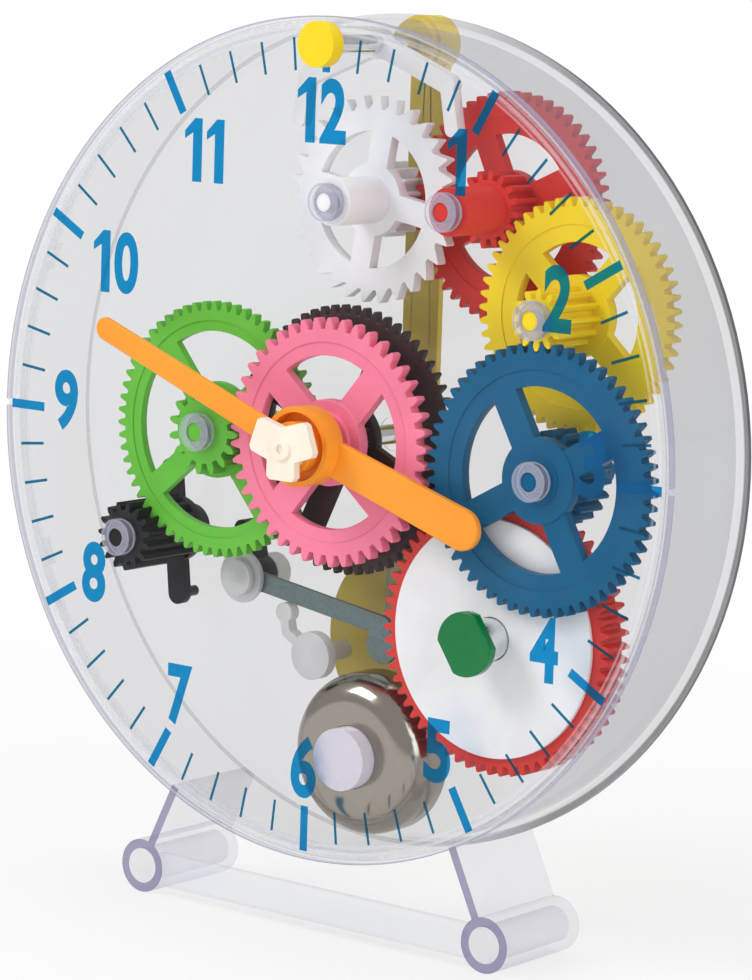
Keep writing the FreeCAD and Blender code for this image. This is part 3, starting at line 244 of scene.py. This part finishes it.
def clearPlastic(name, film, edge, tint=(0.90, 0.91, 0.95), edgeTint=(0.42, 0.40, 0.58), paintedHighlightRings=(),
                 grazing=0.38, collars=()):
    f = Finish(name)
    normal = f.node("ShaderNodeNewGeometry", {}, {}, "Normal")
    facing = f.node("ShaderNodeLayerWeight", {}, {"Blend": 0.35}, "Facing")
    scratch = f.ramp(f.noise(clear["scratch"], 8.0, 0.75), 0.70, 0.78)
    cloud = f.noise(clear["cloud"], 3.0)
    across = f.axis(f.place, "X")
    up = f.axis(f.place, "Z")
    radius = length(across, up)
    side = edge(f, normal, radius)
    alpha = film + facing ** 3.0 * grazing
    alpha = alpha + scratch * clear["scratchShare"] + (cloud - 0.5) * clear["cloudShare"]
    line = None
    # painted highlight: each ring raises alpha in the pale tint, drawing a bright line round the axis
    for spot, width, strength in paintedHighlightRings:
        mark = f.stripe(radius - spot, width) * strength
        line = mark if line is None else line.most(mark)
    if line is not None:
        alpha = alpha + line
    alpha = alpha.most(side * clear["edgeShare"])
    for spotX, spotZ in collars:
        mark = bearingMark(f, length(across - spotX, up - spotZ))
        alpha = alpha.most(mark)
        side = side.most(mark)
    tone = f.blend(side.clip(), linear(tint), linear(edgeTint))
    rough = (clear["rough"] + scratch * clear["scratchRough"] + (cloud - 0.5) * clear["cloudRough"]).clip()
    return f.done(f.surface({
        "Base Color": tone, "Roughness": rough, "Alpha": alpha.clip(), "IOR": clear["ior"],
        "Normal": f.bump(f.noise(clear["wave"], 3.0), clear["bump"], clear["bumpDepth"])}))


# where each clear piece shows an edge line; ranges in metres

cutEnds = {"depth": (0.0030, 0.0024)}
# the back line's left share and its ramp across X are painted shade, darker towards the right
drumRim = {
    "back": (0.0302, 0.0306), "radius": (0.0974, 0.0980), "paintedShadeLeft": 0.10, "paintedShadeToRight": (-0.01, 0.05),
    "ribFront": 0.0196, "ribLine": 0.0004, "ribShare": 0.6,
}
plateRim = {"radius": (0.0985, 0.0988), "share": 0.75}


def facingFront(f, normal):
    return f.ramp(f.axis(normal, "Y") * -1.0, 0.90, 0.97)


def frontEdges(f, normal, radius):
    # the cut front ends of legs and tubes
    return facingFront(f, normal) * f.ramp(f.axis(f.place, "Y"), *cutEnds["depth"])


def rimOfDrum(f, normal, radius):
    # the thin dark line round the back edge, with painted shade making it faint on the left and full on the
    # right, and the front edge of the rib over the hammer
    depth = f.axis(f.place, "Y")
    # painted shade: the back line's strength ramps up from left to right across X
    left = drumRim["paintedShadeLeft"]
    share = left + f.ramp(f.axis(f.place, "X"), *drumRim["paintedShadeToRight"]) * (1.0 - left)
    rib = facingFront(f, normal) * f.stripe(depth - drumRim["ribFront"], drumRim["ribLine"])
    back = f.ramp(depth, *drumRim["back"]) * f.ramp(radius, *drumRim["radius"])
    return (back * share).most(rib * drumRim["ribShare"])


def rimOfPlate(f, normal, radius):
    return f.ramp(radius, *plateRim["radius"]) * plateRim["share"]


def noLine(f, normal, radius):
    return f.ramp(radius, 5.0, 6.0)  # metres, so nothing on the clock reaches it


# the plate's three pale rings near its rim are painted highlights, not moulded features
clearPlate = clearPlastic("clear_plate", 0.008, rimOfPlate, grazing=0.10, collars=shafts, paintedHighlightRings=(
    (0.0965, 0.0005, 0.30), (0.0950, 0.0004, 0.22), (0.0984, 0.0004, 0.35)))
# the near-black edge tint carries the drum's back line, which is painted shade on the right side
clearDrum = clearPlastic("clear_drum", 0.17, rimOfDrum, tint=(0.55, 0.56, 0.61), grazing=0.22,
                         edgeTint=(0.14, 0.13, 0.20))
clearFoot = clearPlastic("clear_foot", 0.13, frontEdges, tint=(0.80, 0.79, 0.87), grazing=0.60,
                         edgeTint=(0.40, 0.37, 0.58))
clearBar = clearPlastic("clear_bar", 0.22, noLine)
print("clear plastics made")


milk = {"cloud": 160.0, "shade": 0.94, "rise": 0.3, "uneven": 0.12, "rough": 0.3, "roughSpread": 0.2,
        "ior": 1.5}


def milkyPlastic(name, tint, film):
    f = Finish(name)
    facing = f.node("ShaderNodeLayerWeight", {}, {"Blend": 0.4}, "Facing")
    cloud = f.noise(milk["cloud"], 4.0)
    alpha = film + facing * milk["rise"] + (cloud - 0.5) * milk["uneven"]
    return f.done(f.surface({
        "Base Color": f.blend(cloud, linear(tint), linear(darker(tint, milk["shade"]))),
        "Roughness": (milk["rough"] + (cloud - 0.5) * milk["roughSpread"]).clip(),
        "Alpha": alpha.clip(), "IOR": milk["ior"]}))


milky = milkyPlastic("milky_trim", (0.86, 0.86, 0.87), 0.62)
frosted = milkyPlastic("frosted_post", (0.90, 0.88, 0.93), 0.80)


# metals

polish = {"wear": 180.0, "grainRough": 0.2, "wearRough": 0.12}


def metal(name, colour, rough, grainScale, grainDepth, push=0.25, fleck=0.6):
    f = Finish(name)
    grain = f.noise(grainScale, 6.0, 0.7)
    wear = f.noise(polish["wear"], 5.0, 0.6)
    tone = f.blend(f.ramp(grain, 0.35, 0.7) * fleck, linear(colour), linear(lighter(colour, 1.35, 0.05)))
    gloss = rough + (grain - 0.5) * polish["grainRough"] * fleck
    gloss = (gloss + (wear - 0.5) * polish["wearRough"] * fleck).clip()
    return f.done(f.surface({
        "Base Color": tone, "Metallic": 1.0, "Roughness": gloss,
        "Normal": f.bump(grain, push, grainDepth)}))


bellMetal = metal("bell_nickel", (0.60, 0.57, 0.53), 0.16, 900.0, 0.000004, push=0.02, fleck=0.12)
stripSteel = metal("strip_steel", (0.38, 0.43, 0.43), 0.42, 2200.0, 0.00006)
sleeveChrome = metal("sleeve_chrome", (0.86, 0.88, 0.88), 0.10, 900.0, 0.00002)
springSteel = metal("spring_steel", (0.30, 0.32, 0.36), 0.30, 1200.0, 0.00003)
print("metals made")

looks = {
    "front_plate": clearPlate, "rear_case": clearDrum, "foot_left": clearFoot, "foot_right": clearFoot,
    "stand_bar": clearBar, "hour_wheel": plastic["pink"], "hour_hand": plastic["orange"],
    "minute_hand": plastic["orange"], "hand_nut": plastic["ivory"], "minute_wheel": plastic["umber"],
    "minute_arbor": sleeveChrome, "motion_wheel": plastic["green"], "second_wheel": plastic["blue"],
    "third_wheel": plastic["yellow"], "fourth_wheel": plastic["red"], "escape_wheel": plastic["white"],
    "barrel_gear": plastic["red"], "barrel_cover": plastic["white"], "mainspring": springSteel,
    "winding_arbor": sleeveChrome, "winding_key": plastic["keyGreen"], "ratchet_wheel": plastic["white"],
    "click": plastic["white"], "click_post": milky, "pendulum_shaft": sleeveChrome,
    "front_knob": plastic["yellow"], "rear_bushing": plastic["yellow"], "rear_knob": plastic["yellow"],
    "pendulum_rod": plastic["yellow"], "pendulum_bob": plastic["yellow"], "anchor": plastic["white"],
    "strike_roller": plastic["black"], "strike_crank": plastic["black"], "hammer_lever": stripSteel,
    "hammer_cap": milky, "hammer_hub": plastic["black"], "hammer_post": milky, "hammer_rest": milky,
    "bell": bellMetal, "bell_post": frosted,
}
missing = sorted(set(nodes) - set(looks))
assert not missing, missing
for name, material in looks.items():
    mesh = nodes[name].data
    mesh.materials.clear()
    mesh.materials.append(material)


# rounded edges on the moulded pieces

edgeRound = {
    "join": 0.000004, "width": 0.00022, "segments": 2, "angle": 32.0,
    "leftSharp": {"front_plate", "rear_case", "mainspring", "minute_arbor", "pendulum_shaft", "hammer_post",
                  "click_post"},
}
for name, item in nodes.items():
    if name in edgeRound["leftSharp"]:
        continue
    weld = item.modifiers.new("join_corners", "WELD")
    weld.merge_threshold = edgeRound["join"]
    bevel = item.modifiers.new("round_edges", "BEVEL")
    bevel.width = edgeRound["width"]
    bevel.segments = edgeRound["segments"]
    bevel.limit_method = "ANGLE"
    bevel.angle_limit = math.radians(edgeRound["angle"])
    bevel.harden_normals = False
print("edges rounded")


# dial print

def inScene(name, data):
    item = bpy.data.objects.new(name, data)
    bpy.context.scene.collection.objects.link(item)
    return item


ink = {"cloud": 300.0, "shade": 0.85, "rough": 0.35, "roughSpread": 0.2, "shareSpread": 0.12}


def inkFinish(name, through, body, share):
    f = Finish(name)
    cloud = f.noise(ink["cloud"], 5.0)
    glassy = f.node("ShaderNodeBsdfTransparent", {}, {"Color": four(linear(through))})
    solid = f.surface({
        "Base Color": f.blend(cloud, linear(body), linear(darker(body, ink["shade"]))),
        "Roughness": (ink["rough"] + (cloud - 0.5) * ink["roughSpread"]).clip()})
    amount = (share + (cloud - 0.5) * ink["shareSpread"]).clip()
    return f.done(f.mix(amount, glassy, solid))


numeralInk = inkFinish("numeral_ink", (0.0, 0.62, 0.86), (0.0, 0.52, 0.76), 0.34)
tickInk = inkFinish("tick_ink", (0.05, 0.50, 0.66), (0.04, 0.42, 0.56), 0.35)

dial = {
    "height": 0.155, "width": 0.080, "oneWidth": 0.056, "gap": 0.014, "stem": 0.030, "bold": 0.036,
    "front": -0.00006,
    "numerals": {
        "12": (-0.010, 0.797), "11": (-0.374, 0.681), "10": (-0.655, 0.387), "9": (-0.813, 0.025),
        "8": (-0.7065, -0.402), "7": (-0.410, -0.675), "6": (-0.0065, -0.792), "5": (0.398, -0.688),
        "4": (0.695, -0.402), "3": (0.806, 0.040), "2": (0.695, 0.408), "1": (0.395, 0.700)},
    "hourTick": (0.888, 1.0, 0.023), "minuteTick": (0.893, 0.972, 0.0075),
}


def flatPiece(name, faces, material, body):
    # flat outlines at the dial's front, each a list of (right, up) in metres
    mesh = bpy.data.meshes.new(name)
    shape = bmesh.new()
    for outline in faces:
        shape.faces.new([shape.verts.new((x, dial["front"], z)) for x, z in outline])
    shape.to_mesh(mesh)
    shape.free()
    mesh.materials.append(material)
    piece = inScene(name, mesh)
    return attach(piece, body)


def tick(turn, inner, outer, width):
    side = (math.cos(turn), -math.sin(turn))
    ray = (math.sin(turn), math.cos(turn))
    half = width / 2
    return [tuple(dialUnit * (ray[k] * reach + side[k] * half * way) for k in (0, 1))
            for reach, way in ((inner, -1), (inner, 1), (outer, 1), (outer, -1))]


def digitOutline(digit):
    # points (right, up) from 0 to 1 and the faces among them
    if digit == "1":
        stem = dial["stem"] / dial["oneWidth"]
        points = [(1 - stem, 0), (1, 0), (1, 1), (1 - 0.8 * stem, 1), (0, 0.80), (0, 0.67), (1 - stem, 0.77)]
        return points, [(0, 1, 2, 3, 6), (3, 4, 5, 6)]
    curve = bpy.data.curves.new("digit", "FONT")
    curve.body = digit
    curve.size = 1.0
    curve.offset = dial["bold"]
    curve.resolution_u = 6
    drawn = inScene("digit", curve)
    bpy.context.view_layer.update()
    mesh = bpy.data.meshes.new_from_object(drawn.evaluated_get(bpy.context.evaluated_depsgraph_get()))
    bpy.data.objects.remove(drawn)
    left, right = min(v.co.x for v in mesh.vertices), max(v.co.x for v in mesh.vertices)
    low, high = min(v.co.y for v in mesh.vertices), max(v.co.y for v in mesh.vertices)
    points = [((v.co.x - left) / (right - left), (v.co.y - low) / (high - low)) for v in mesh.vertices]
    faces = [tuple(face.vertices) for face in mesh.polygons]
    bpy.data.meshes.remove(mesh)
    return points, faces


def numeral(text, spot):
    widths = [dial["oneWidth"] if digit == "1" else dial["width"] for digit in text]
    start = spot[0] - (sum(widths) + dial["gap"] * (len(text) - 1)) / 2
    points, faces = [], []
    for digit, width in zip(text, widths):
        outline, sides = digitOutline(digit)
        first = len(points)
        points += [(dialUnit * (start + right * width), dial["front"],
                    dialUnit * (spot[1] + (up - 0.5) * dial["height"])) for right, up in outline]
        faces += [tuple(first + corner for corner in side) for side in sides]
        start += width + dial["gap"]
    mesh = bpy.data.meshes.new("numeral_" + text)
    mesh.from_pydata(points, [], faces)
    mesh.materials.append(numeralInk)
    piece = inScene("numeral_" + text, mesh)
    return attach(piece, "case")


for text, spot in dial["numerals"].items():
    numeral(text, spot)
hourTicks = [tick(math.radians(30 * n), *dial["hourTick"]) for n in range(12)]
minuteTicks = [tick(math.radians(6 * n), *dial["minuteTick"]) for n in range(60) if n % 5]
flatPiece("hour_ticks", hourTicks, numeralInk, "case")
flatPiece("minute_ticks", minuteTicks, tickInk, "case")
print("dial printed")


# floor, light and camera

stageLook = {"floor": 0.90, "paper": 0.62, "world": 0.57, "spread": 6.0, "nearby": 0.17, "away": 0.42}


def floorFinish():
    f = Finish("studio_floor")
    seen = f.seenBy(("Is Glossy Ray", "Is Transmission Ray"))
    paint = f.node("ShaderNodeBsdfDiffuse", {}, {"Color": four((stageLook["floor"],) * 3)})
    paper = f.node("ShaderNodeEmission", {}, {"Color": (1, 1, 1, 1), "Strength": 1.0})
    # white paper all round, with the object's shadow kept near its feet
    outward = length(f.axis(f.place, "X"), f.axis(f.place, "Y"))
    away = f.ramp(outward, stageLook["nearby"], stageLook["away"])
    amount = seen * (stageLook["paper"] + away * (1.0 - stageLook["paper"]))
    return f.done(f.mix(amount, paint, paper))


def makeFloor():
    half = stageLook["spread"]
    level = cadBox[0].z
    mesh = bpy.data.meshes.new("studio_floor")
    corners = [(-half, -half, level), (half, -half, level), (half, half, level), (-half, half, level)]
    mesh.from_pydata(corners, [], [(0, 1, 2, 3)])
    mesh.materials.append(floorFinish())
    floor = inScene("studio_floor", mesh)


def makeWorld():
    world = bpy.data.worlds.new("studio_air")
    bpy.context.scene.world = world
    world.use_nodes = True
    air = NodeTree(world.node_tree)
    seen = air.seenBy(("Is Transmission Ray",))
    strength = seen * (1.0 - stageLook["world"]) + stageLook["world"]
    light = air.node("ShaderNodeBackground", {}, {"Color": (1, 1, 1, 1), "Strength": strength})
    air.node("ShaderNodeOutputWorld", {}, {"Surface": light})


softboxes = {
    "key_softbox": dict(place=(-0.55, -0.75, 0.75), width=0.5, height=0.5, watts=6.0),
    "side_softbox": dict(place=(0.95, -0.35, 0.35), width=0.5, height=0.8, watts=3.1),
    "top_softbox": dict(place=(0.1, 0.2, 1.0), width=0.8, height=0.5, watts=2.6),
}


def softbox(name, place, width, height, watts):
    lamp = bpy.data.lights.new(name, "AREA")
    lamp.shape = "RECTANGLE"
    lamp.size = width
    lamp.size_y = height
    lamp.energy = watts
    item = inScene(name, lamp)
    item.location = place
    item.rotation_mode = "QUATERNION"
    item.rotation_quaternion = (-Vector(place)).to_track_quat("-Z", "Y")  # aimed at the hands' axis


makeFloor()
makeWorld()
for name, look in softboxes.items():
    softbox(name, **look)

shot = {"azimuth": 37.962, "elevation": 8.349, "roll": 1.848, "distance": 8.903,
        "aim": (0.189, -0.089), "focal": 3753.95, "side": 980.0}


def makeCamera():
    turn = math.radians(shot["azimuth"])
    rise = math.radians(shot["elevation"])
    roll = math.radians(shot["roll"])
    back = Vector((math.sin(turn) * math.cos(rise), -math.cos(turn) * math.cos(rise), math.sin(rise)))
    right = (-back).cross(Vector((0, 0, 1))).normalized()
    up = right.cross(-back)
    across = right * math.cos(roll) + up * math.sin(roll)
    over = up * math.cos(roll) - right * math.sin(roll)
    lens = bpy.data.cameras.new("studio_camera")
    lens.sensor_width = 36.0
    lens.lens = shot["focal"] / shot["side"] * lens.sensor_width
    lens.clip_start = 0.01
    camera = inScene("studio_camera", lens)
    camera.location = (Vector((shot["aim"][0], 0, shot["aim"][1])) + back * shot["distance"]) * dialUnit
    camera.rotation_mode = "QUATERNION"
    camera.rotation_quaternion = Matrix((across, over, back)).transposed().to_quaternion()
    bpy.context.scene.camera = camera


makeCamera()
bpy.context.scene.view_settings.view_transform = "Standard"
bpy.context.scene.cycles.transparent_max_bounces = 32
print("stage set")

bpy.context.view_layer.update()
